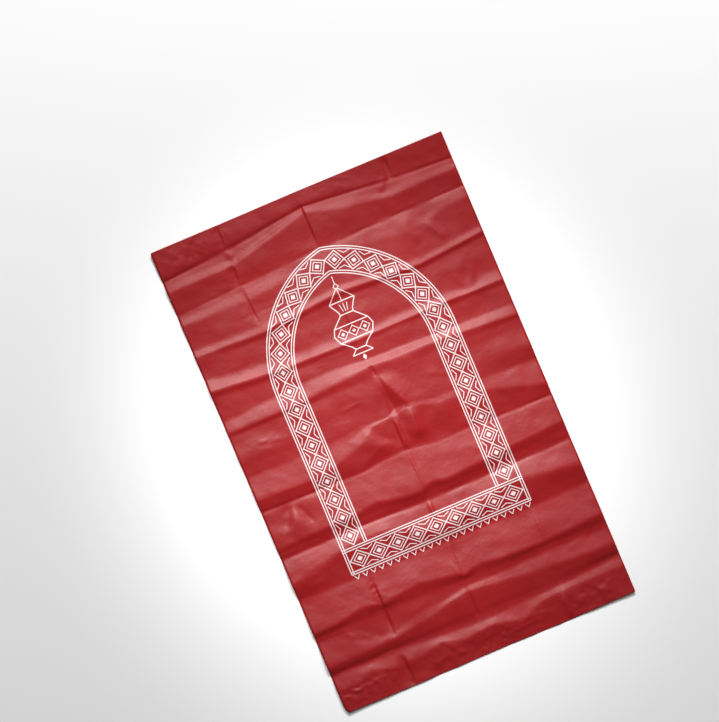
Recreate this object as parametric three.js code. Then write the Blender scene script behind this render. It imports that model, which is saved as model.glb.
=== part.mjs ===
import * as THREE from "three";

// A thin coated cloth mat, opened out on a floor, that still holds the folds it was packed with.
// Lengths are in millimetres. The top end of the mat is +Y, its right side is +X, and the floor is z = 0.

const WIDTH = 700;
const LENGTH = 1110;
const THICKNESS = 1.2;

// Every cross fold is a narrow level land of this half width, with a plain slope to the next one.
const LAND_HALF = 2;

// A slope longer than this along the mat gets more rows of facets.
const LONGEST_SLOPE_STEP = 34;

// Stations across the mat, measured from its left side, where the fold table gives its values.
const STATIONS = { Left: 0, LeftCrease: 165, Middle: 350, RightCrease: 545, Right: 700 };

// Cross folds: distance from the top end and height of the underside at the five stations.
const FOLD_COLUMNS = [
  "name", "atLeft", "atLeftCrease", "atMiddle", "atRightCrease", "atRight",
  "riseLeft", "riseLeftCrease", "riseMiddle", "riseRightCrease", "riseRight",
];
const FOLD_ROWS = [
  ["topEdge", 1, 1, 0, 1, 2, 5, 5, 3, 3, 5],
  ["valley1", 74, 60, 36, 56, 66, 0, 0, 2, 0, 0],
  ["crest1", 97, 96, 48, 91, 87, 5, 4, 5, 4, 4],
  ["valley2", 154, 145, 137, 133, 131, 0, 0, 0, 0, 0],
  ["crest2", 180, 182, 166, 172, 155, 3, 3, 2, 3, 4],
  ["valley3", 240, 244, 229, 242, 228, 0, 3, 1, 3, 1],
  ["crest3", 252, 261, 243, 256, 242, 3, 5, 4, 5, 4],
  ["foot3", 264, 271, 254, 264, 252, 2, 2, 1, 2, 1],
  ["valley4", 312, 328, 341, 338, 332, 0, 0, 0, 0, 0],
  ["crest4", 337, 352, 354, 352, 356, 6, 4, 3, 4, 4],
  ["foot4", 349, 363, 364, 363, 367, 3, 1, 2, 1, 1],
  ["valley5", 411, 398, 404, 412, 415, 0, 0, 0, 0, 0],
  ["crest5", 436, 436, 421, 427, 438, 4, 5, 5, 4, 4],
  ["foot5", 447, 447, 446, 447, 448, 2, 2, 2, 2, 1],
  ["valleySwell", 467, 468, 470, 470, 470, 2, 2, 2, 2, 0],
  ["crestSwell", 502, 502, 500, 502, 512, 5, 1, 1, 1, 4],
  ["valley6", 544, 545, 532, 541, 547, 0, 0, 0, 0, 0],
  ["crest6", 592, 600, 543, 566, 606, 7, 5, 1, 4, 5],
  ["valley7", 625, 629, 620, 631, 633, 1, 0, 0, 0, 0],
  ["crest7", 708, 704, 718, 706, 696, 5, 7, 7, 7, 6],
  ["foot8", 730, 728, 733, 727, 722, 1, 1, 2, 1, 1],
  ["valley8", 741, 739, 744, 742, 738, 0, 0, 0, 0, 0],
  ["crest8", 802, 768, 813, 778, 801, 8, 5, 8, 8, 8],
  ["valley9", 839, 842, 842, 846, 842, 0, 0, 0, 0, 0],
  ["crest9", 920, 918, 922, 928, 921, 6, 8, 8, 8, 8],
  ["foot10", 931, 931, 936, 938, 940, 2, 3, 4, 4, 3],
  ["valley10", 943, 988, 953, 949, 952, 1, 3, 2, 2, 1],
  ["crest10", 998, 997, 962, 984, 992, 7, 5, 6, 6, 6],
  ["edge11", 1007, 1006, 1004, 1004, 1003, 6, 4, 4, 4, 5],
  ["foot11", 1020, 1018, 1018, 1018, 1014, 0, 0, 0, 0, 0],
  ["valley11", 1032, 1028, 1041, 1034, 1024, 0, 0, 0, 0, 0],
  ["crest11", 1052, 1060, 1058, 1046, 1042, 3, 2, 5, 3, 2],
  ["valley12", 1080, 1082, 1084, 1084, 1074, 2, 1, 2, 2, 2],
  ["bottomEdge", 1109, 1110, 1109, 1110, 1108, 5, 1, 0, 0, 5],
];

// Kinks of a cross fold between the stations: how far it shifts towards the bottom end and how much it
// rises at one place across the mat, fading out over the reach on either side.
const KINK_COLUMNS = ["fold", "across", "reach", "shift", "rise"];
const KINK_ROWS = [
  ["crest1", 440, 100, 8, 0],
  ["crest2", 590, 48, 8, 0],
  ["valley4", 620, 45, 8, 0],
  ["valley5", 262, 80, -6, 0],
  ["valley6", 282, 60, -6, 0],
  ["valley6", 398, 40, -8, 0],
  ["crest6", 262, 60, 4, 0],
  ["valley7", 245, 50, 4, 0],
  ["valley7", 420, 70, 5, 0],
  ["crest7", 245, 60, -12, 0],
  ["crest7", 378, 30, -9, 0],
  ["foot8", 245, 60, -6, 0],
  ["foot8", 378, 30, -5, 0],
  ["crest8", 245, 80, -15, 1],
  ["crest8", 440, 70, 4, 0],
  ["crest9", 110, 60, -20, -1],
  ["crest9", 260, 90, -15, 0],
  ["crest9", 410, 40, -6, 0],
  ["valley10", 60, 60, -12, 0],
  ["valley10", 230, 60, -8, 0],
  ["crest10", 260, 60, 4, 0],
  ["crest11", 90, 40, -8, 0],
  ["crest11", 255, 50, -9, 1],
  ["crest11", 445, 50, 18, 0],
];

// Creases that run across the panels. Each is a straight ridge, or a trough where the rise is negative,
// between two points given as distance from the left side and from the top end. The two reaches are its
// half widths on the left and right of a picture that has its first end at the top.
const CREASE_COLUMNS = ["name", "x1", "y1", "x2", "y2", "rise", "leftReach", "rightReach"];
const CREASE_ROWS = [
  ["middleTop", 346, 2, 346, 140, -3, 8, 8],
  ["middleNotch", 350, 260, 350, 352, 2, 9, 9],
  ["middleThin", 355, 620, 360, 735, 1, 6, 6],
  ["middleRidge", 354, 738, 356, 812, 3, 10, 8],
  ["middleLow", 357, 844, 357, 933, 1, 8, 8],
  ["middleLast", 357, 951, 357, 1037, -2, 8, 8],
  ["leftPinch", 157, 45, 166, 96, 2, 10, 12],
  ["leftTop", 157, 100, 153, 145, -3, 8, 8],
  ["leftPucker", 170, 845, 170, 995, -4, 9, 9],
  ["leftFoot", 166, 1035, 166, 1111, -4, 20, 10],
  ["leftFanOuter", 72, 624, 38, 715, 3, 12, 16],
  ["leftFanInner", 72, 624, 104, 715, 3, 16, 12],
  ["rightEdgeTop", 556, 0, 556, 60, -3, 12, 8],
  ["rightPinch", 540, 45, 522, 75, 2, 10, 10],
  ["rightFan", 545, 140, 556, 205, 3, 26, 10],
  ["rightFacet", 588, 172, 618, 226, 2, 10, 14],
  ["rightStarOuter", 620, 355, 648, 298, 2, 12, 14],
  ["rightStarInner", 620, 355, 598, 298, 2, 14, 12],
  ["rightLow", 560, 844, 560, 931, 1, 8, 8],
  ["rightFoot", 550, 1045, 550, 1111, 3, 16, 12],
];

// Buckles: pyramids, or pits where the rise is negative, from a peak down to the corners of a foot. Places
// are distances from the left side and from the top end.
const BUCKLES = [
  {
    name: "middleSwell",
    rise: 5,
    peak: [385, 530],
    foot: [[255, 500], [355, 428], [500, 500], [500, 590], [385, 650], [270, 620]],
  },
  {
    name: "middlePitUpper",
    rise: -6,
    peak: [368, 518],
    foot: [[359, 442], [398, 512], [398, 528], [360, 530], [355, 500]],
  },
  {
    name: "middlePitLower",
    rise: -6,
    peak: [374, 562],
    foot: [[364, 533], [398, 533], [394, 596], [372, 612], [362, 575]],
  },
  {
    name: "middleFacet",
    rise: 4,
    peak: [270, 575],
    foot: [[245, 545], [285, 540], [330, 605], [298, 622], [245, 620]],
  },
];

// Columns of facets, measured from the left side; they stand closer together along the creases.
const COLUMNS = [
  0, 38, 72, 106, 140, 154, 166, 178, 200, 226, 248, 270, 290, 312, 334, 346, 354, 361, 368, 376, 386, 398,
  412, 440, 480, 520, 545, 556, 570, 590, 620, 660, 700,
];

// Corners of the outline: how far the edge draws in across the mat and along it.
const CORNER_COLUMNS = ["name", "across", "along"];
const CORNER_ROWS = [
  ["topLeft", 6, 6],
  ["topRight", 2, 2],
  ["bottomLeft", 10, 20],
  ["bottomRight", 3, 3],
];
const CORNER_STEPS = [0, 0.25, 1];

// The left side leans in a little towards the bottom end and the right side stands a little inside.
const LEFT_SIDE = { top: 0, bottom: 5 };
const RIGHT_SIDE_INSET = 1;

function namedRows(columns, rows) {
  return rows.map((row) => Object.fromEntries(columns.map((column, i) => [column, row[i]])));
}

const FOLDS = namedRows(FOLD_COLUMNS, FOLD_ROWS);
const KINKS = namedRows(KINK_COLUMNS, KINK_ROWS);
const CREASES = namedRows(CREASE_COLUMNS, CREASE_ROWS);
const CORNERS = Object.fromEntries(namedRows(CORNER_COLUMNS, CORNER_ROWS).map((row) => [row.name, row]));

function mix(a, b, share) {
  return a + (b - a) * share;
}

// A fold's value at a distance across the mat, straight between the stations. The field is "at" or "rise".
function acrossStations(fold, field, across) {
  const marks = Object.entries(STATIONS);
  for (let i = 1; i < marks.length; i += 1) {
    const [from, start] = marks[i - 1];
    const [to, end] = marks[i];
    if (across <= end) {
      return mix(fold[field + from], fold[field + to], (across - start) / (end - start));
    }
  }
  return fold[field + marks[marks.length - 1][0]];
}

function kinkSum(fold, across, field) {
  return KINKS.filter((kink) => kink.fold === fold.name)
    .map((kink) => kink[field] * Math.max(0, 1 - Math.abs(across - kink.across) / kink.reach))
    .reduce((sum, value) => sum + value, 0);
}

function foldDistance(fold, across) {
  return acrossStations(fold, "at", across) + kinkSum(fold, across, "shift");
}

function foldRise(fold, across) {
  return Math.max(0, acrossStations(fold, "rise", across) + kinkSum(fold, across, "rise"));
}

// Height added by the creases at one point, each fading out towards its ends and its sides.
function creaseRise(across, along) {
  let sum = 0;
  for (const crease of CREASES) {
    const runX = crease.x2 - crease.x1;
    const runY = crease.y2 - crease.y1;
    const run = Math.hypot(runX, runY);
    const offX = across - crease.x1;
    const offY = along - crease.y1;
    const share = (offX * runX + offY * runY) / (run * run);
    const side = ((offX * runY - offY * runX) / run) * Math.sign(runY);
    const reach = side < 0 ? crease.leftReach : crease.rightReach;
    const fade = Math.min(1, 4 * share, 4 * (1 - share));
    sum += crease.rise * Math.max(0, fade) * Math.max(0, 1 - Math.abs(side) / reach);
  }
  return sum;
}

// Height added by the buckles at one point: plain triangles from each peak down to its foot.
function buckleRise(across, along) {
  let sum = 0;
  for (const { rise, peak, foot } of BUCKLES) {
    const offX = across - peak[0];
    const offY = along - peak[1];
    foot.forEach((first, i) => {
      const second = foot[(i + 1) % foot.length];
      const ax = first[0] - peak[0];
      const ay = first[1] - peak[1];
      const bx = second[0] - peak[0];
      const by = second[1] - peak[1];
      const turn = ax * by - ay * bx;
      const s = (offX * by - offY * bx) / turn;
      const t = (ax * offY - ay * offX) / turn;
      if (s > 0 && t >= 0 && s + t < 1) {
        sum += rise * (1 - s - t);
      }
    });
  }
  return sum;
}

// Rows of facets. Each lies at a share of the slope between two folds, or at an offset from one fold.
function facetRows() {
  const rows = [];
  const topEdge = FOLDS[0];
  const bottomEdge = FOLDS[FOLDS.length - 1];
  const topReach = Math.max(CORNERS.topLeft.along, CORNERS.topRight.along);
  const bottomReach = Math.max(CORNERS.bottomLeft.along, CORNERS.bottomRight.along);
  for (const step of CORNER_STEPS) {
    rows.push({ fold: topEdge, offset: topReach * step });
  }
  for (let i = 1; i < FOLDS.length; i += 1) {
    const last = rows[rows.length - 1];
    const fold = FOLDS[i];
    const next = fold === bottomEdge
      ? { fold, offset: -bottomReach }
      : { fold, offset: -LAND_HALF };
    const spans = COLUMNS.map((across) => rowDistance(next, across) - rowDistance(last, across));
    const longest = Math.max(...spans);
    const steps = Math.max(1, Math.round(longest / LONGEST_SLOPE_STEP));
    for (let step = 1; step < steps; step += 1) {
      rows.push({ from: last, to: next, share: step / steps });
    }
    rows.push(next);
    if (fold !== bottomEdge) {
      rows.push({ fold, offset: LAND_HALF });
    }
  }
  for (const step of CORNER_STEPS.slice(0, -1).reverse()) {
    rows.push({ fold: bottomEdge, offset: -bottomReach * step });
  }
  return rows;
}

function rowDistance(row, across) {
  if (row.from) {
    return mix(rowDistance(row.from, across), rowDistance(row.to, across), row.share);
  }
  return foldDistance(row.fold, across) + row.offset;
}

function rowRise(row, across) {
  if (row.from) {
    return mix(rowRise(row.from, across), rowRise(row.to, across), row.share);
  }
  return foldRise(row.fold, across);
}

// How far a rounded corner draws the side in at a distance from the end of the mat.
function cornerInset(corner, fromEnd) {
  const short = Math.max(0, 1 - Math.max(0, fromEnd) / corner.along);
  return corner.across * (1 - Math.sqrt(Math.max(0, 1 - short * short)));
}

function leftSide(along) {
  const lean = mix(LEFT_SIDE.top, LEFT_SIDE.bottom, along / LENGTH);
  return lean + cornerInset(CORNERS.topLeft, along) + cornerInset(CORNERS.bottomLeft, LENGTH - along);
}

function rightSide(along) {
  const inset = cornerInset(CORNERS.topRight, along) + cornerInset(CORNERS.bottomRight, LENGTH - along);
  return WIDTH - RIGHT_SIDE_INSET - inset;
}

// Points of the underside, one row after another from the top end.
function undersidePoints() {
  return facetRows().map((row) => COLUMNS.map((column) => {
    const along = rowDistance(row, column);
    const across = mix(leftSide(along), rightSide(along), column / WIDTH);
    const buckled = creaseRise(across, along) + buckleRise(across, along);
    const height = Math.max(0, rowRise(row, column) + buckled);
    return new THREE.Vector3(across - WIDTH / 2, LENGTH / 2 - along, height);
  }));
}

// One closed skin: the underside, the same surface a cloth's thickness above it, and the cut edge.
function sheetGeometry() {
  const points = undersidePoints();
  const rows = points.length;
  const columns = COLUMNS.length;
  const positions = [];
  for (const lift of [0, THICKNESS]) {
    for (const row of points) {
      for (const point of row) {
        positions.push(point.x, point.y, point.z + lift);
      }
    }
  }
  const under = (r, c) => r * columns + c;
  const over = (r, c) => rows * columns + under(r, c);
  const faces = [];
  const quad = (a, b, c, d) => faces.push(a, b, c, a, c, d);
  for (let r = 0; r + 1 < rows; r += 1) {
    for (let c = 0; c + 1 < columns; c += 1) {
      quad(under(r, c), under(r, c + 1), under(r + 1, c + 1), under(r + 1, c));
      quad(over(r, c), over(r + 1, c), over(r + 1, c + 1), over(r, c + 1));
    }
    quad(under(r, 0), under(r + 1, 0), over(r + 1, 0), over(r, 0));
    quad(under(r + 1, columns - 1), under(r, columns - 1), over(r, columns - 1), over(r + 1, columns - 1));
  }
  for (let c = 0; c + 1 < columns; c += 1) {
    quad(under(0, c + 1), under(0, c), over(0, c), over(0, c + 1));
    quad(under(rows - 1, c), under(rows - 1, c + 1), over(rows - 1, c + 1), over(rows - 1, c));
  }
  const geometry = new THREE.BufferGeometry();
  geometry.setAttribute("position", new THREE.Float32BufferAttribute(positions, 3));
  geometry.setIndex(faces);
  geometry.computeVertexNormals();
  return geometry;
}

const redCoatedCloth = new THREE.MeshStandardMaterial({ color: 0xa8252d, roughness: 0.45, metalness: 0 });

const sheet = new THREE.Mesh(sheetGeometry(), redCoatedCloth);
sheet.name = "mat_sheet";

const mat = new THREE.Group();
mat.name = "travel_mat";
mat.add(sheet);

export default mat;
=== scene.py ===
import math

import bpy
import numpy as np
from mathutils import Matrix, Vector
from mathutils.bvhtree import BVHTree


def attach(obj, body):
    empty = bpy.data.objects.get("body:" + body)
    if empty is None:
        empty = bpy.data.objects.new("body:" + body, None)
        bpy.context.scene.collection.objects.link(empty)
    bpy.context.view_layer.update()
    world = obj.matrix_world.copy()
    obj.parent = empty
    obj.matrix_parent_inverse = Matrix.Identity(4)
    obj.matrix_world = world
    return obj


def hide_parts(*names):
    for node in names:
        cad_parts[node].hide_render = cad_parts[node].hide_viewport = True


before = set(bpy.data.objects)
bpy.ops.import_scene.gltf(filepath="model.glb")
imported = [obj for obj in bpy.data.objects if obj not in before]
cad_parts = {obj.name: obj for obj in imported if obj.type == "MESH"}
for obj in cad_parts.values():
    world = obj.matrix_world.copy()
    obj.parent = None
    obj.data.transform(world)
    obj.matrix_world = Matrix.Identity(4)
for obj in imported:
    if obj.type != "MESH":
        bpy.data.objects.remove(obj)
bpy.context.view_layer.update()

# A thin coated cloth mat, laid open on a pale floor, still holding the folds it was packed with.
# Tables are in millimetres: "across" from the left side, "along" from the top end. Meshes are in metres.

MM = 0.001
WIDTH = 700.0
LENGTH = 1110.0
THICKNESS = 0.8

# How far the whole cloth is lifted, so that its slight unevenness stays clear of the floor.
CLEAR = 0.35

# Places across the mat at which the cross folds are given.
STATIONS = [0, 165, 350, 545, 700]

# How far a fold is rounded to either side, and the height of the thin line pressed along it.
SHARP, PLAIN, ROUND = 2, 4, 8
DENT, SMOOTH, RIDGE = -1.0, 0, 0.5

# Cross folds: name, distance from the top end at the five stations, rise at the five stations, rounding
# and pressed line.
FOLDS = [
    ("topEdge", 1, 1, 0, 1, 2, 5, 4, 3, 3, 5, PLAIN, SMOOTH),
    ("edge1", 66, 52, 30, 48, 58, 2, 2, 3, 1, 1, PLAIN, SMOOTH),
    ("valley1", 72, 58, 36, 54, 64, 0, 0, 2, 0, 0, SHARP, DENT),
    ("bend1", 80, 84, 42, 71, 75, 1, 1, 2, 1, 1, PLAIN, SMOOTH),
    ("crest1", 97, 96, 48, 91, 87, 5, 4, 5, 4, 4, PLAIN, SMOOTH),
    ("valley2", 152, 143, 136, 132, 130, 0, 0, 0, 0, 0, SHARP, DENT),
    ("bend2", 163, 154, 150, 139, 135, 0, 0, 1, 1, 1, PLAIN, SMOOTH),
    ("crest2", 178, 180, 166, 172, 155, 3, 3, 2, 3, 4, PLAIN, SMOOTH),
    ("valley3", 240, 244, 229, 242, 228, 0, 3, 1, 3, 1, PLAIN, SMOOTH),
    ("crest3", 252, 261, 243, 256, 242, 3, 5, 4, 5, 4, SHARP, SMOOTH),
    ("foot3", 264, 271, 254, 264, 250, 2, 2, 1, 2, 1, SHARP, SMOOTH),
    ("valley4", 312, 328, 342, 338, 332, 0, 0, 0, 0, 0, ROUND, SMOOTH),
    ("crest4", 337, 353, 356, 354, 358, 6, 4, 3, 4, 4, SHARP, RIDGE),
    ("foot4", 349, 363, 364, 363, 367, 3, 1, 2, 2, 1, PLAIN, SMOOTH),
    ("valley5", 411, 398, 404, 412, 415, 0, 0, 1, 1, 0, SHARP, SMOOTH),
    ("crest5", 436, 436, 421, 427, 440, 4, 5, 7, 7, 4, PLAIN, SMOOTH),
    ("foot5", 446, 446, 445, 446, 447, 2, 2, 5, 5, 2, SHARP, SMOOTH),
    ("valleySwell", 465, 468, 470, 470, 470, 2, 2, 5, 5, 1, PLAIN, SMOOTH),
    ("crestSwell", 502, 502, 500, 502, 512, 5, 1, 4, 4, 4, ROUND, SMOOTH),
    ("valley6", 544, 545, 539, 541, 547, 0, 0, 3, 3, 0, SHARP, SMOOTH),
    ("crest6", 597, 603, 545, 562, 608, 6, 5, 4, 5, 5, PLAIN, SMOOTH),
    ("valley7", 625, 629, 620, 631, 633, 1, 0, 0, 0, 0, SHARP, DENT),
    ("crest7", 716, 712, 720, 708, 698, 4, 6, 7, 7, 6, PLAIN, SMOOTH),
    ("foot8", 730, 728, 733, 727, 722, 1, 1, 2, 1, 1, SHARP, RIDGE),
    ("valley8", 740, 738, 742, 741, 738, 0, 0, 0, 0, 0, SHARP, DENT),
    ("crest8", 802, 768, 813, 778, 801, 8, 5, 8, 8, 8, ROUND, SMOOTH),
    ("valley9", 839, 842, 842, 846, 842, 0, 0, 0, 0, 0, PLAIN, SMOOTH),
    ("crest9", 920, 918, 922, 928, 921, 6, 8, 8, 8, 8, PLAIN, SMOOTH),
    ("foot10", 929, 929, 935, 937, 939, 2, 3, 4, 4, 3, PLAIN, SMOOTH),
    ("valley10", 941, 984, 952, 950, 952, 1, 3, 3, 2, 2, PLAIN, SMOOTH),
    ("crest10", 1000, 998, 964, 984, 992, 7, 5, 6, 6, 7, PLAIN, SMOOTH),
    ("edge11", 1009, 1009, 1009, 1009, 1007, 5, 3, 3, 3, 4, SHARP, SMOOTH),
    ("foot11", 1019, 1019, 1020, 1020, 1016, 0, 0, 1, 1, 0, SHARP, SMOOTH),
    ("valley11", 1026, 1026, 1036, 1030, 1022, 0, 0, 0, 0, 0, PLAIN, SMOOTH),
    ("crest11", 1052, 1056, 1056, 1046, 1044, 4, 4, 5, 4, 4, PLAIN, SMOOTH),
    ("valley12", 1080, 1082, 1084, 1084, 1074, 4, 1, 1, 2, 3, ROUND, SMOOTH),
    ("bottomEdge", 1109, 1110, 1109, 1110, 1108, 4, 1, 0, 0, 4, PLAIN, SMOOTH),
]

# Kinks of a cross fold: fold, across, reach, shift towards the bottom end, rise.
KINKS = [
    ("bend1", 525, 55, 7, 0),
    ("crest1", 440, 100, 8, 0),
    ("bend2", 590, 48, 22, 0),
    ("crest2", 590, 48, 8, 0),
    ("valley4", 620, 45, 12, 0),
    ("valley5", 262, 80, -6, 0),
    ("valley6", 282, 60, -4, 0),
    ("valley6", 398, 60, -11, 0),
    ("crest6", 262, 60, 4, 0),
    ("crest6", 305, 45, -14, 0),
    ("crest6", 398, 60, -12, 0),
    ("valley7", 245, 50, 4, 0),
    ("valley7", 420, 70, 5, 0),
    ("crest7", 245, 60, -12, 0),
    ("crest7", 378, 30, -9, 0),
    ("foot8", 245, 60, -6, 0),
    ("foot8", 378, 30, -5, 0),
    ("crest8", 245, 80, -15, 1),
    ("crest8", 440, 70, 4, 0),
    ("crest9", 120, 60, -12, 0),
    ("crest9", 260, 90, -15, 0),
    ("crest9", 366, 16, 7, 0),
    ("crest9", 410, 40, -6, 0),
    ("valley10", 60, 60, -12, 0),
    ("valley10", 230, 60, -8, 0),
    ("crest10", 260, 60, 4, 0),
    ("crest11", 90, 40, -12, 0),
    ("crest11", 255, 50, -11, 0),
    ("crest11", 305, 40, 4, 0),
    ("crest11", 445, 60, 16, 0),
    ("crest11", 552, 20, 0, 1),
    ("valley11", 130, 40, -3, 0),
]

# Main creases: across and along at one end, across and along at the other, rise, and how far the crease
# reaches to its left and right side, as seen when its first end is the upper one.
CREASES = [
    (347, 20, 347, 142, -2.5, 26, 5),
    (350, 260, 350, 352, 2, 9, 9),
    (352, 420, 355, 446, -2, 10, 5),
    (360, 446, 398, 530, 2.5, 24, 34),
    (397, 536, 392, 612, 5, 24, 26),
    (357, 540, 356, 622, 3.5, 8, 12),
    (355, 620, 360, 735, 1, 5, 5),
    (354, 738, 356, 815, 3, 10, 8),
    (357, 842, 357, 935, 1, 8, 8),
    (357, 952, 357, 1036, -2, 8, 8),
    (157, 0, 157, 60, -2, 18, 5),
    (157, 96, 153, 148, -3, 20, 5),
    (155, 150, 163, 240, -1.5, 14, 5),
    (170, 845, 170, 995, -3, 20, 7),
    (166, 1035, 166, 1110, -4, 20, 10),
    (68, 630, 40, 690, -2.5, 34, 14),
    (84, 640, 104, 696, -1.5, 10, 7),
    (556, 0, 556, 60, -3, 12, 8),
    (540, 45, 522, 75, 2, 10, 10),
    (545, 140, 556, 215, 2, 30, 20),
    (588, 172, 618, 226, 2, 10, 14),
    (620, 355, 648, 300, 1, 12, 14),
    (620, 355, 598, 300, 1, 14, 12),
    (560, 845, 560, 930, 1, 8, 8),
    (550, 1045, 550, 1110, 3, 16, 12),
]

# Buckles, which are pits where the height is negative: height, peak, then the corners of the foot in turn,
# as places across and along.
BUCKLES = [
    (3, (396, 529), (357, 531), (360, 446), (530, 500), (525, 590), (400, 625), (366, 606)),
    (-4, (364, 528), (350, 536), (351, 480), (360, 446), (395, 527), (366, 545)),
    (5, (306, 592), (236, 556), (284, 542), (338, 599), (322, 618), (250, 622)),
    (4, (70, 668), (72, 628), (104, 690), (96, 722), (60, 724), (36, 690), (44, 652)),
    (2.5, (158, 66), (150, 57), (176, 71), (166, 95), (150, 82)),
]

# Fine creases that only show in the cloth, with the same columns as the main ones.
FINE_CREASES = [
    (244, 546, 292, 536, 0.5, 3, 3),
    (100, 215, 300, 215, -0.5, 4, 4),
    (245, 490, 310, 485, 0.6, 4, 5),
    (30, 475, 130, 495, 0.6, 9, 12),
    (450, 475, 520, 510, 0.6, 10, 14),
    (162, 865, 178, 872, 0.9, 4, 5),
    (160, 886, 180, 880, 0.9, 4, 5),
    (160, 910, 178, 917, -0.9, 5, 5),
    (162, 940, 178, 933, 0.8, 4, 5),
    (346, 886, 356, 936, 0.7, 6, 6),
    (65, 565, 105, 595, 0.6, 8, 8),
    (600, 565, 670, 550, 0.5, 8, 8),
    (470, 655, 520, 695, 0.5, 12, 12),
    (20, 30, 65, 65, 0.7, 10, 10),
    (95, 10, 140, 58, 0.6, 12, 10),
    (430, 18, 470, 45, 0.5, 10, 10),
    (612, 20, 650, 45, 0.5, 10, 10),
    (60, 945, 128, 975, 0.8, 10, 8),
    (214, 965, 270, 945, 0.6, 8, 8),
    (600, 965, 660, 945, 0.6, 8, 8),
    (252, 1045, 236, 1098, 1.4, 14, 8),
    (262, 1045, 300, 1092, 1.2, 8, 16),
    (552, 1042, 590, 1096, 1.4, 8, 16),
    (500, 1058, 478, 1102, 1.0, 12, 8),
    (420, 1066, 404, 1106, 0.9, 10, 8),
    (620, 1052, 640, 1104, 1.0, 8, 10),
    (60, 1048, 44, 1104, 0.9, 10, 8),
    (104, 1050, 122, 1100, 0.9, 8, 10),
    (30, 1072, 130, 1066, 0.7, 6, 8),
    (200, 1078, 330, 1084, 0.8, 8, 8),
    (380, 1088, 500, 1080, 0.8, 8, 8),
    (560, 1074, 680, 1082, 0.8, 8, 8),
]

# Crumpled places: across, along, half width, half length, height of the crumples.
CRUMPLES = [
    (80, 1075, 95, 35, 2.2),
    (610, 1080, 95, 35, 2.0),
    (420, 1085, 150, 30, 1.5),
    (260, 1080, 90, 30, 1.5),
    (90, 30, 110, 45, 1.4),
    (440, 25, 110, 35, 0.5),
    (60, 805, 80, 30, 0.6),
    (80, 485, 90, 40, 0.5),
    (170, 915, 40, 80, 0.8),
    (90, 955, 90, 40, 0.6),
]

# How far the left side is drawn in at the top and at the bottom end, and the right side all along.
LEFT_SIDE = (0.0, 5.0)
RIGHT_SIDE_INSET = 1.0

# Corners of the outline: how far the edge draws in across the mat and along it.
CORNERS = {"topLeft": (6, 6), "topRight": (2, 2), "bottomLeft": (10, 20), "bottomRight": (3, 3)}

# Widths of the thin line pressed along a fold, on its gentle and its steep side.
PRESSED_WIDE = 7.0
PRESSED_NARROW = 3.0

# The least distance over which the slope from one fold to the next is worked out.
LEAST_RUN = 1.5

# How pointed a crease is, where 1 is a plain ridge, and the share of its length over which each end fades.
CREASE_POINT = 1.15
FINE_CREASE_POINT = 1.3
CREASE_FADE = 0.25

# A field of waves: how many plane waves it has, the range of their lengths as shares of the given one, and
# the full turn from which their phases are drawn.
WAVE_COUNT = 14
WAVELENGTH_RANGE = (0.6, 1.7)
FULL_TURN = 6.283

# Slight unevenness of the whole sheet: height, wavelength and seed of each field of waves.
UNEVENNESS = [(0.32, 95, 3), (0.12, 34, 4)]

# Crumples are ridges where a field of waves is near zero: share, wavelength, seed and width of each field.
CRUMPLE_FIELDS = [(1.0, 46, 11, 0.55), (0.7, 30, 12, 0.5)]

# Height of the crumples in plain places, and how steeply a crumpled place fades at its edge.
CRUMPLE_LEAST = 0.16
CRUMPLE_EDGE = 1.3

# Rows of facets: the usual step from one to the next, the fewest from one fold to the next, and how much
# they crowd towards the two ends.
ROW_STEP = 3.9
LEAST_ROWS = 2
END_CROWD = 1.5

# Columns of facets: how many are evenly spread, the lengthwise creases where more are added, their distances
# from such a crease, and the least distance between two columns.
EVEN_COLUMNS = 131
CROWDED_AT = (163, 168, 346, 354, 358, 396, 545, 554)
CROWD_STEPS = (-6, -3.5, -1.7, 0, 1.7, 3.5, 6)
LEAST_COLUMN = 1.4


def tent(distance):
    """1 at no distance, and evenly down to 0 at a distance of 1."""
    return np.maximum(0.0, 1.0 - np.abs(distance))


def fold_lines(across):
    """Distance and rise of every cross fold at each place across the mat."""
    along, rise = [], []
    count = len(STATIONS)
    for name, *numbers in FOLDS:
        y = np.interp(across, STATIONS, numbers[:count])
        z = np.interp(across, STATIONS, numbers[count:2 * count])
        for fold, centre, reach, shift, lift in KINKS:
            if fold == name:
                fade = tent((across - centre) / reach)
                y = y + shift * fade
                z = z + lift * fade
        along.append(y)
        rise.append(np.maximum(0.0, z))
    return np.array(along), np.array(rise)


def crease_rise(across, along, table, point):
    """Straight ridges, or troughs where the rise is negative."""
    total = np.zeros_like(across)
    for x1, y1, x2, y2, rise, left, right in table:
        run = math.hypot(x2 - x1, y2 - y1)
        share = ((across - x1) * (x2 - x1) + (along - y1) * (y2 - y1)) / run**2
        side = ((across - x1) * (y2 - y1) - (along - y1) * (x2 - x1)) / run
        reach = np.where(side < 0, left, right)
        fade = np.clip(np.minimum(share, 1 - share) / CREASE_FADE, 0, 1)
        total += rise * fade * tent(side / reach) ** point
    return total


def buckle_rise(across, along):
    """Pyramids, or pits where the height is negative: plain triangles from the peak to the foot."""
    total = np.zeros_like(across)
    for height, peak, *foot in BUCKLES:
        x, y = across - peak[0], along - peak[1]
        for first, second in zip(foot, foot[1:] + foot[:1]):
            ax, ay = first[0] - peak[0], first[1] - peak[1]
            bx, by = second[0] - peak[0], second[1] - peak[1]
            turn = ax * by - ay * bx
            s = (x * by - y * bx) / turn
            t = (ax * y - ay * x) / turn
            inside = (s > 0) & (t >= 0) & (s + t < 1)
            total += np.where(inside, height * (1 - s - t), 0.0)
    return total


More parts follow.
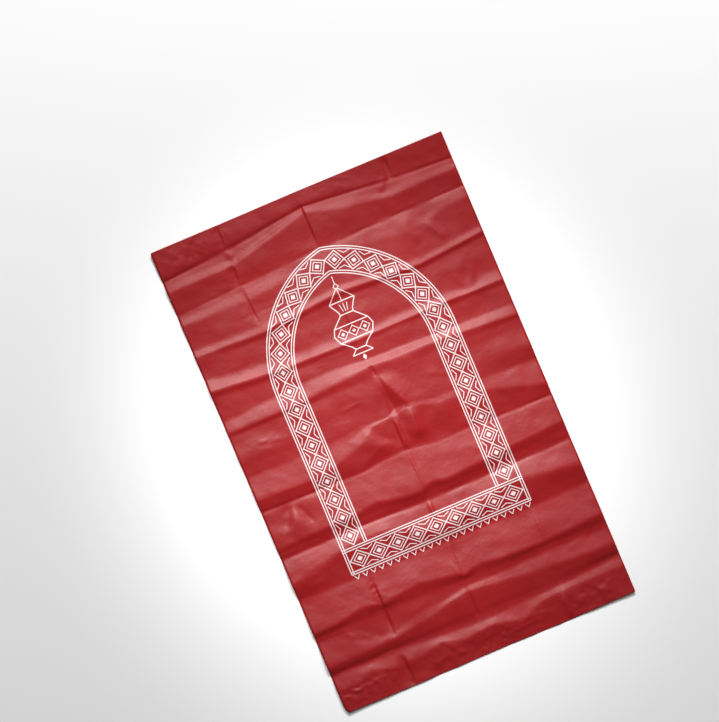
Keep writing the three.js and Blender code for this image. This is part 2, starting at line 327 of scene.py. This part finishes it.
def waves(across, along, wavelength, seed):
    """Smooth unevenness: a sum of plane waves of mixed directions, about 1 high."""
    dice = np.random.default_rng(seed)
    total = np.zeros_like(across)
    for _ in range(WAVE_COUNT):
        angle = dice.uniform(0, math.pi)
        k = 2 * math.pi / (wavelength * dice.uniform(*WAVELENGTH_RANGE))
        phase = dice.uniform(0, FULL_TURN)
        total += np.sin(k * (across * math.cos(angle) + along * math.sin(angle)) + phase)
    return total / math.sqrt(WAVE_COUNT / 2)


def crumple_rise(across, along):
    """Fine ridges all over, high in the crumpled places and faint in the others."""
    ridges = np.zeros_like(across)
    for share, wavelength, seed, width in CRUMPLE_FIELDS:
        ridges += share * tent(waves(across, along, wavelength, seed) / width)
    total = np.full_like(across, CRUMPLE_LEAST)
    for x, y, half_x, half_y, height in CRUMPLES:
        out = np.hypot((across - x) / half_x, (along - y) / half_y)
        total = np.maximum(total, height * np.clip(CRUMPLE_EDGE - out * CRUMPLE_EDGE, 0, 1))
    return total * ridges


def corner_inset(corner, from_end):
    draw, reach = CORNERS[corner]
    short = np.clip(1 - np.maximum(0, from_end) / reach, 0, 1)
    return draw * (1 - np.sqrt(1 - short**2))


def sides(along):
    """Places across the mat of its left and right edge."""
    lean = LEFT_SIDE[0] + (LEFT_SIDE[1] - LEFT_SIDE[0]) * along / LENGTH
    left = lean + corner_inset("topLeft", along) + corner_inset("bottomLeft", LENGTH - along)
    right = WIDTH - RIGHT_SIDE_INSET - corner_inset("topRight", along)
    return left, right - corner_inset("bottomRight", LENGTH - along)


def column_marks():
    """Places of the columns of facets, closer together along the lengthwise creases."""
    marks = list(np.linspace(0, WIDTH, EVEN_COLUMNS))
    for centre in CROWDED_AT:
        marks += [centre + step for step in CROWD_STEPS]
    marks = sorted(marks)
    kept = [marks[0]]
    for mark in marks[1:-1]:
        if mark - kept[-1] > LEAST_COLUMN and WIDTH - mark > LEAST_COLUMN:
            kept.append(mark)
    return np.array(kept + [WIDTH])


def eased(past, soft):
    """A bend from level to a slope of 1, rounded over the distance soft to either side."""
    return np.clip(past + soft, 0, 2 * soft) ** 2 / (4 * soft) + np.maximum(0, past - soft)


def folded_rise(along, lines, rises):
    """Height of the folded sheet: plain slopes from fold to fold, rounded and pressed as the table says."""
    slopes = np.diff(rises, axis=0) / np.maximum(LEAST_RUN, np.diff(lines, axis=0))
    height = rises[0] + slopes[0] * (along - lines[0])
    for i in range(1, len(FOLDS) - 1):
        rounding = FOLDS[i][-2]
        height = height + (slopes[i] - slopes[i - 1]) * eased(along - lines[i], rounding)
    for (name, *_, pressed), line in zip(FOLDS, lines):
        past = along - line
        wide_first = name.startswith(("crest", "bend"))
        reach = np.where((past < 0) == wide_first, PRESSED_WIDE, PRESSED_NARROW)
        height = height + pressed * tent(past / reach)
    return height


def row_lines(lines):
    """Distance of every row of facets from the top end, at each place across the mat."""
    rows = []
    last = len(lines) - 2
    for i, (above, below) in enumerate(zip(lines, lines[1:])):
        count = max(LEAST_ROWS, round(float(np.mean(below - above)) / ROW_STEP))
        for step in range(count):
            share = step / count
            if i == 0:
                share = share**END_CROWD
            if i == last:
                share = 1 - (1 - share) ** END_CROWD
            rows.append(above + (below - above) * share)
    rows.append(lines[-1])
    return np.array(rows)


def sheet_points():
    """Points of the underside as an array of rows by columns by 3, in millimetres."""
    columns = column_marks()
    lines, rises = fold_lines(columns)
    along = row_lines(lines)
    left, right = sides(along)
    across = left + (right - left) * columns / WIDTH
    height = folded_rise(along, lines, rises)
    height = height + crease_rise(across, along, CREASES, CREASE_POINT)
    height = height + crease_rise(across, along, FINE_CREASES, FINE_CREASE_POINT)
    height = height + buckle_rise(across, along)
    height = height + crumple_rise(across, along)
    for size, wavelength, seed in UNEVENNESS:
        height = height + size * waves(across, along, wavelength, seed)
    height = np.maximum(0.0, height + CLEAR)
    return np.stack([across - WIDTH / 2, LENGTH / 2 - along, height], axis=2)


def top_points(points):
    return points.reshape(-1, 3) + np.array([0, 0, THICKNESS])


def facets(index):
    """The four corners of every facet, in turn as seen from above."""
    corners = (index[:-1, :-1], index[1:, :-1], index[1:, 1:], index[:-1, 1:])
    return np.stack([corner.ravel() for corner in corners], 1)


def new_piece(name, vertices, faces):
    mesh = bpy.data.meshes.new(name)
    mesh.from_pydata(vertices, [], faces)
    piece = bpy.data.objects.new(name, mesh)
    bpy.context.scene.collection.objects.link(piece)
    return piece


def sheet_object(points, index):
    """The closed sheet: its underside, its top and a rim around the two."""
    vertices = np.concatenate([points.reshape(-1, 3), top_points(points)]) * MM
    lift = index.size
    top = facets(index) + lift
    under = facets(index)[:, [0, 3, 2, 1]]
    faces = [under, top]
    for edge in (index[:, 0], index[-1, :], index[::-1, -1], index[0, ::-1]):
        start, end = edge[:-1], edge[1:]
        faces.append(np.stack([start, end, end + lift, start + lift], 1))
    piece = new_piece("mat_cloth", vertices.tolist(), np.concatenate(faces).tolist())
    piece.data.validate()
    piece.data.shade_smooth()
    return piece


points = sheet_points()
index = np.arange(points[..., 0].size).reshape(points.shape[:2])
cloth = sheet_object(points, index)
top_vertices = [Vector(place) for place in (top_points(points) * MM).tolist()]
cloth_top = BVHTree.FromPolygons(top_vertices, facets(index).tolist())

# Print: how far it lies above the cloth, the widths of its lines, the length of its facets, the number of
# facets side by side in a line, and the least value that a mitre is divided by, which keeps sharp corners
# short.
PRINT_LIFT = 0.18
LINE = 2.3
FINE_LINE = 1.8
THIN_LINE = 1.6
STEP = 1.8
LINE_FACETS = 2
MITRE_LIMIT = 0.35

# A height above every fold, in metres, from which the cloth is looked for.
ABOVE_ALL = 0.1


def on_cloth(across, along):
    """The point on the cloth under a place on the mat, a hair above it, in metres."""
    x, y = (across - WIDTH / 2) * MM, (LENGTH / 2 - along) * MM
    hit = cloth_top.ray_cast(Vector((x, y, ABOVE_ALL)), Vector((0, 0, -1)))[0]
    return (x, y, hit.z + PRINT_LIFT * MM)


def lozenge(centre, way, half_long, half_wide):
    """Corners of a lozenge with its long axis along the direction way."""
    middle = np.array(centre, float)
    long_axis = np.array(way, float) * half_long
    wide_axis = np.array([-way[1], way[0]], float) * half_wide
    return [middle + long_axis, middle + wide_axis, middle - long_axis, middle - wide_axis]


class Ink:
    """Collects printed shapes as strips and patches that lie on the cloth."""

    def __init__(self):
        self.vertices = []
        self.faces = []

    def patch(self, corners, lengthwise, crosswise):
        """A four-cornered patch, split into lengthwise by crosswise quads."""
        first, second, third, fourth = [np.array(corner, float) for corner in corners]
        start = len(self.vertices)
        for i in range(lengthwise + 1):
            s = i / lengthwise
            for j in range(crosswise + 1):
                t = j / crosswise
                near = first * (1 - s) + second * s
                far = fourth * (1 - s) + third * s
                self.vertices.append(on_cloth(*(near * (1 - t) + far * t)))
        wide = crosswise + 1
        for i in range(lengthwise):
            for j in range(crosswise):
                v = start + i * wide + j
                self.faces.append((v, v + wide, v + wide + 1, v + 1))

    def stroke(self, path, width=LINE, closed=False):
        """A line of one width along a path, mitred at its corners."""
        path = [np.array(place, float) for place in path]
        count = len(path)
        mitres = []
        for i, place in enumerate(path):
            ways = []
            if i > 0 or closed:
                ways.append(place - path[i - 1])
            if i + 1 < count or closed:
                ways.append(path[(i + 1) % count] - place)
            normals = [np.array([-way[1], way[0]]) / np.linalg.norm(way) for way in ways]
            normal = sum(normals) / len(normals)
            mitres.append(normal / max(MITRE_LIMIT, float(normal @ normal)) * (width / 2))
        for i in range(count if closed else count - 1):
            j = (i + 1) % count
            steps = max(1, int(np.linalg.norm(path[j] - path[i]) / STEP))
            near = [path[i] - mitres[i], path[j] - mitres[j]]
            far = [path[j] + mitres[j], path[i] + mitres[i]]
            self.patch(near + far, steps, LINE_FACETS)

    def diamond(self, centre, way, half_long, half_wide):
        """A filled lozenge."""
        steps = max(2, int(half_long / STEP))
        self.patch(lozenge(centre, way, half_long, half_wide), steps, steps)

    def outline_diamond(self, centre, way, half_long, half_wide, width=LINE):
        self.stroke(lozenge(centre, way, half_long, half_wide), width, closed=True)

    def make(self, name, material):
        piece = new_piece(name, self.vertices, self.faces)
        piece.data.materials.append(material)
        piece.data.shade_smooth()
        return piece


# The printed niche: a pointed arch on straight jambs. Its two sides are arcs about centres that lie past the
# middle line, on the other side.
CENTRE = 350.0
SPRING = 400.0
FOOT = 832.0
OUTER_HALF = 215.0
ARCH_SHIFT = 55.8
ARCH_RADIUS = OUTER_HALF + ARCH_SHIFT
ARCH_STEPS = 40

# Directions on the mat.
SIDEWAYS = (1, 0)
DOWN = (0, 1)

# Its border: the band's width, the threshold's height, the gap between the two lines along each side, and
# the clear space from the band's sides to its lozenges.
BAND = 60.0
THRESHOLD = 58.0
THRESHOLD_TOP = FOOT - THRESHOLD
RULE_GAP = 5.5
LOZENGE_CLEAR = 9.5

# The rows of lozenges: their pitch in the band and in the threshold, the clear space from the band's lowest
# lozenge to the threshold, and the one at the threshold's own ends.
BAND_PITCH = 43
THRESHOLD_PITCH = 46
BAND_END_CLEAR = 4
THRESHOLD_END_CLEAR = 8

# Sizes of the smaller lozenges inside each lozenge, as shares of it.
INNER_SHARE = 0.62
FILLED_SHARE = 0.3

# Darts between two lozenges: how far in they reach, as a share of the lozenge, and half their spread.
DART_DEPTH = 0.31
DART_SPREAD = 0.3

# Teeth below the threshold: their number, half width, and distances of their base and tip below it.
TEETH = 22
TOOTH_HALF = 6
TOOTH_BASE = 3.5
TOOTH_TIP = 12


def niche_line(inset, foot):
    """Left half of the niche's outline drawn in by an inset, from its foot up to the apex."""
    radius = ARCH_RADIUS - inset
    centre = CENTRE + ARCH_SHIFT
    apex = math.acos(ARCH_SHIFT / radius)
    line = [(CENTRE - OUTER_HALF + inset, foot)]
    for i in range(ARCH_STEPS + 1):
        angle = apex * i / ARCH_STEPS
        line.append((centre - radius * math.cos(angle), SPRING - radius * math.sin(angle)))
    return line


def mirrored(line):
    return [(2 * CENTRE - x, y) for x, y in line]


def both_halves(inset, foot):
    left = niche_line(inset, foot)
    return left + mirrored(left)[::-1][1:]


def along_line(line, spacing):
    """Even places along a line, each with the direction there, and the distance between them."""
    corners = np.array(line, float)
    runs = np.linalg.norm(np.diff(corners, axis=0), axis=1)
    total = np.concatenate([[0], np.cumsum(runs)])
    count = int(round(total[-1] / spacing))
    pitch = total[-1] / count
    places = []
    for i in range(count):
        s = (i + 0.5) * pitch
        k = min(int(np.searchsorted(total, s, side="right")) - 1, len(runs) - 1)
        way = (corners[k + 1] - corners[k]) / runs[k]
        places.append((corners[k] + way * (s - total[k]), way))
    return places, pitch


def chain(ink, line, spacing, half_wide):
    """Lozenges end to end, each with smaller ones inside, and darts between their sides."""
    places, pitch = along_line(line, spacing)
    half = pitch / 2
    for number, (centre, way) in enumerate(places):
        ink.outline_diamond(centre, way, half, half_wide)
        ink.outline_diamond(centre, way, half * INNER_SHARE, half_wide * INNER_SHARE, FINE_LINE)
        ink.diamond(centre, way, half * FILLED_SHARE, half_wide * FILLED_SHARE)
        if number == 0:
            continue
        side = np.array([-way[1], way[0]]) * half_wide
        spread = way * pitch * DART_SPREAD
        for sign in (-1, 1):
            edge = centre - way * half + side * sign
            tip = edge - side * sign * DART_DEPTH
            ink.stroke([edge - spread, tip, edge + spread], FINE_LINE)


niche = Ink()
for inset, foot in ((0, FOOT), (RULE_GAP, FOOT), (BAND - RULE_GAP, THRESHOLD_TOP), (BAND, THRESHOLD_TOP)):
    niche.stroke(both_halves(inset, foot))
band_middle = niche_line(BAND / 2, THRESHOLD_TOP - BAND_END_CLEAR)
for line in (band_middle, mirrored(band_middle)):
    chain(niche, line, BAND_PITCH, BAND / 2 - LOZENGE_CLEAR)

threshold = Ink()
left_x, right_x = CENTRE - OUTER_HALF, CENTRE + OUTER_HALF
for y in (FOOT, FOOT - RULE_GAP, THRESHOLD_TOP + RULE_GAP, THRESHOLD_TOP):
    threshold.stroke([(left_x, y), (right_x, y)])
middle_y = FOOT - THRESHOLD / 2
row = [(left_x + THRESHOLD_END_CLEAR, middle_y), (right_x - THRESHOLD_END_CLEAR, middle_y)]
chain(threshold, row, THRESHOLD_PITCH, THRESHOLD / 2 - LOZENGE_CLEAR)
for i in range(TEETH):
    x = left_x + (right_x - left_x) * (i + 0.5) / TEETH
    base = FOOT + TOOTH_BASE
    threshold.stroke([(x - TOOTH_HALF, base), (x, FOOT + TOOTH_TIP), (x + TOOTH_HALF, base)], FINE_LINE)

# The hanging lamp in the niche: half width and distance below its top, from the rim down to the foot, and
# the places where a line runs across.
LAMP_TOP = 262.0
LAMP_PROFILE = {
    "rim": (30, 0),
    "throat": (17, 22),
    "neck": (15, 30),
    "shoulder": (40, 54),
    "belly": (46, 70),
    "hip": (38, 88),
    "taper": (18, 104),
    "stem": (12, 112),
    "foot": (24, 124),
}
LAMP_RULES = ("rim", "neck", "shoulder", "hip", "stem", "foot")

# What it hangs on, as distances from the mat's top end and half widths: a short chain, a ring, and three
# cords from the ring to the rim.
CHAIN_TOP, CHAIN_END = 204, 222
RING_CENTRE, RING_HALF_LONG, RING_HALF_WIDE = 228, 7, 6
SIDE_CORD_TOP, SIDE_CORD_TOP_HALF, SIDE_CORD_END_HALF = 234, 3, 29
MIDDLE_CORD_TOP = 236

# Its ornaments, as distances below its top, pitches and half widths: three lozenges round the belly, each
# with a filled heart, three flutes that draw together down the throat, and a drop under the foot.
BEAD_DOWN, BEAD_PITCH, BEAD_HALF, BEAD_HEART = 71, 26, 12, 4.5
FLUTE_TOP, FLUTE_TOP_PITCH, FLUTE_END, FLUTE_END_PITCH = 6, 9, 24, 5
DROP_DOWN, DROP_HALF_LONG, DROP_HALF_WIDE = 134, 7, 4.5

lamp = Ink()
lamp.stroke([(CENTRE, CHAIN_TOP), (CENTRE, CHAIN_END)], FINE_LINE)
lamp.outline_diamond((CENTRE, RING_CENTRE), DOWN, RING_HALF_LONG, RING_HALF_WIDE, FINE_LINE)
for sign in (-1, 1):
    cord_top = (CENTRE + sign * SIDE_CORD_TOP_HALF, SIDE_CORD_TOP)
    lamp.stroke([cord_top, (CENTRE + sign * SIDE_CORD_END_HALF, LAMP_TOP)], THIN_LINE)
lamp.stroke([(CENTRE, MIDDLE_CORD_TOP), (CENTRE, LAMP_TOP)], THIN_LINE)
left_profile = [(CENTRE - half, LAMP_TOP + down) for half, down in LAMP_PROFILE.values()]
lamp.stroke(left_profile)
lamp.stroke(mirrored(left_profile))
for half, down in [LAMP_PROFILE[name] for name in LAMP_RULES]:
    lamp.stroke([(CENTRE - half, LAMP_TOP + down), (CENTRE + half, LAMP_TOP + down)])
for k in (-1, 0, 1):
    bead = (CENTRE + BEAD_PITCH * k, LAMP_TOP + BEAD_DOWN)
    lamp.outline_diamond(bead, SIDEWAYS, BEAD_HALF, BEAD_HALF, FINE_LINE)
    lamp.diamond(bead, SIDEWAYS, BEAD_HEART, BEAD_HEART)
for k in (-1, 0, 1):
    flute_top = (CENTRE + FLUTE_TOP_PITCH * k, LAMP_TOP + FLUTE_TOP)
    lamp.stroke([flute_top, (CENTRE + FLUTE_END_PITCH * k, LAMP_TOP + FLUTE_END)], THIN_LINE)
lamp.diamond((CENTRE, LAMP_TOP + DROP_DOWN), DOWN, DROP_HALF_LONG, DROP_HALF_WIDE)

# Materials: the red cloth and the ink share one coated surface. Scales are per metre, and bump distances
# are in metres.
DARK_RED = (0.27, 0.0015, 0.003)
LIGHT_RED = (0.305, 0.002, 0.0035)
DARK_INK = (0.70, 0.60, 0.60)
LIGHT_INK = (0.80, 0.70, 0.70)
DARK_UP_TO, LIGHT_FROM = 0.3, 0.7
GLOSS_SPREAD = 0.05


def new_material(name):
    material = bpy.data.materials.new(name)
    material.use_nodes = True
    nodes = material.node_tree.nodes
    return material, nodes, material.node_tree.links, nodes["Principled BSDF"]


def noise_node(nodes, links, coords, scale, detail, roughness=0.5):
    node = nodes.new("ShaderNodeTexNoise")
    node.inputs["Scale"].default_value = scale
    node.inputs["Detail"].default_value = detail
    node.inputs["Roughness"].default_value = roughness
    links.new(coords.outputs["Object"], node.inputs["Vector"])
    return node


def bump_node(nodes, links, height, distance, strength, under=None):
    node = nodes.new("ShaderNodeBump")
    node.inputs["Distance"].default_value = distance
    node.inputs["Strength"].default_value = strength
    links.new(height.outputs["Fac"], node.inputs["Height"])
    if under is not None:
        links.new(under.outputs["Normal"], node.inputs["Normal"])
    return node


def coated_cloth(name, dark, light, roughness, specular):
    """A clouded colour with uneven gloss, over crumples, puckers and a fine weave."""
    material, nodes, links, shader = new_material(name)
    coords = nodes.new("ShaderNodeTexCoord")
    clouds = noise_node(nodes, links, coords, scale=9.0, detail=4.0)
    ramp = nodes.new("ShaderNodeValToRGB")
    for stop, position, colour in zip(ramp.color_ramp.elements, (DARK_UP_TO, LIGHT_FROM), (dark, light)):
        stop.position = position
        stop.color = (*colour, 1)
    links.new(clouds.outputs["Fac"], ramp.inputs["Fac"])
    links.new(ramp.outputs["Color"], shader.inputs["Base Color"])
    spots = noise_node(nodes, links, coords, scale=38.0, detail=3.0)
    gloss = nodes.new("ShaderNodeMapRange")
    gloss.inputs["To Min"].default_value = roughness - GLOSS_SPREAD
    gloss.inputs["To Max"].default_value = roughness + GLOSS_SPREAD
    links.new(spots.outputs["Fac"], gloss.inputs["Value"])
    links.new(gloss.outputs["Result"], shader.inputs["Roughness"])
    shader.inputs["Specular IOR Level"].default_value = specular
    crumple = noise_node(nodes, links, coords, scale=26.0, detail=4.0, roughness=0.55)
    pucker = noise_node(nodes, links, coords, scale=120.0, detail=2.0)
    weave = nodes.new("ShaderNodeTexWave")
    weave.inputs["Scale"].default_value = 620.0
    links.new(coords.outputs["Object"], weave.inputs["Vector"])
    surface = bump_node(nodes, links, crumple, distance=0.0007, strength=0.5)
    surface = bump_node(nodes, links, pucker, distance=0.0004, strength=0.5, under=surface)
    surface = bump_node(nodes, links, weave, distance=0.00004, strength=0.4, under=surface)
    links.new(surface.outputs["Normal"], shader.inputs["Normal"])
    return material


red_cloth = coated_cloth("red_coated_cloth", DARK_RED, LIGHT_RED, roughness=0.43, specular=0.5)
ink = coated_cloth("silver_white_ink", DARK_INK, LIGHT_INK, roughness=0.5, specular=0.4)
cloth.data.materials.append(red_cloth)
printed = [
    niche.make("print_niche", ink),
    threshold.make("print_threshold", ink),
    lamp.make("print_lamp", ink),
]

# The floor, in metres.
FLOOR_HALF = 12
FLOOR_COLOUR = (0.95, 0.95, 0.95, 1)
FLOOR_ROUGHNESS = 0.9
floor_corners = [(FLOOR_HALF * x, FLOOR_HALF * y, 0) for x, y in ((-1, -1), (1, -1), (1, 1), (-1, 1))]
floor = new_piece("floor", floor_corners, [(0, 1, 2, 3)])
floor_material, _, _, floor_shader = new_material("pale_floor")
floor_shader.inputs["Base Color"].default_value = FLOOR_COLOUR
floor_shader.inputs["Roughness"].default_value = FLOOR_ROUGHNESS
floor.data.materials.append(floor_material)

# The part's pieces, their body and what they stand for.
for piece in [cloth, *printed]:
    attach(piece, "root")
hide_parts("mat_sheet")

# Light, in metres and watts: a wide soft source past the mat's top end and a little to its right, a narrow
# pool of light from the top end that gives the cloth its sheen, and a faint even sky.
TURN = math.radians(22.9)
KEY_OUT = 6.6
KEY_UP = 4.3
KEY_SIZE = (3.7, 1.7)
KEY_POWER = 780
POOL_PLACE = (-0.05, 1.5, 2.9)
POOL_TARGET = (-0.04, -0.03, 0)
POOL_ANGLE = math.radians(23)
POOL_SOFTNESS = 0.25
POOL_POWER = 370
SKY_COLOUR = (1, 1, 1, 1)
SKY_STRENGTH = 0.15


def add_light(data, place, target):
    light = bpy.data.objects.new(data.name, data)
    light.visible_camera = False
    light.location = place
    light.rotation_euler = (Vector(target) - Vector(place)).to_track_quat("-Z", "Y").to_euler()
    bpy.context.scene.collection.objects.link(light)


key = bpy.data.lights.new("key", "AREA")
key.shape = "RECTANGLE"
key.size, key.size_y = KEY_SIZE
key.energy = KEY_POWER
key_place = Vector((math.sin(TURN), math.cos(TURN), 0)) * KEY_OUT + Vector((0, 0, KEY_UP))
add_light(key, key_place, target=(0, 0, 0))

pool = bpy.data.lights.new("pool", "SPOT")
pool.energy = POOL_POWER
pool.spot_size = POOL_ANGLE
pool.spot_blend = 1.0
pool.shadow_soft_size = POOL_SOFTNESS
add_light(pool, POOL_PLACE, POOL_TARGET)

world = bpy.data.worlds.new("studio")
world.use_nodes = True
world.node_tree.nodes["Background"].inputs["Color"].default_value = SKY_COLOUR
world.node_tree.nodes["Background"].inputs["Strength"].default_value = SKY_STRENGTH
bpy.context.scene.world = world
bpy.context.scene.view_settings.view_transform = "Standard"

# Camera straight above, turned so that the mat lies as in the photograph. The frame and the mat's centre in
# it are in pixels, the camera's height in metres, and its sensor in millimetres.
FRAME = (719, 722)
MAT_IN_FRAME = (393.0, 422.5)
PIXELS_PER_METRE = 0.4515 / MM
CAMERA_UP = 11.0
SENSOR = 36.0
camera_data = bpy.data.cameras.new("camera")
camera_data.sensor_width = SENSOR
camera_data.lens = SENSOR * CAMERA_UP / (max(FRAME) / PIXELS_PER_METRE)
right = (FRAME[0] / 2 - MAT_IN_FRAME[0]) / PIXELS_PER_METRE
up = (MAT_IN_FRAME[1] - FRAME[1] / 2) / PIXELS_PER_METRE
camera = bpy.data.objects.new("camera", camera_data)
camera.location = (
    math.cos(TURN) * right + math.sin(TURN) * up,
    -math.sin(TURN) * right + math.cos(TURN) * up,
    CAMERA_UP,
)
camera.rotation_euler = (0, 0, -TURN)
bpy.context.scene.collection.objects.link(camera)
bpy.context.scene.camera = camera
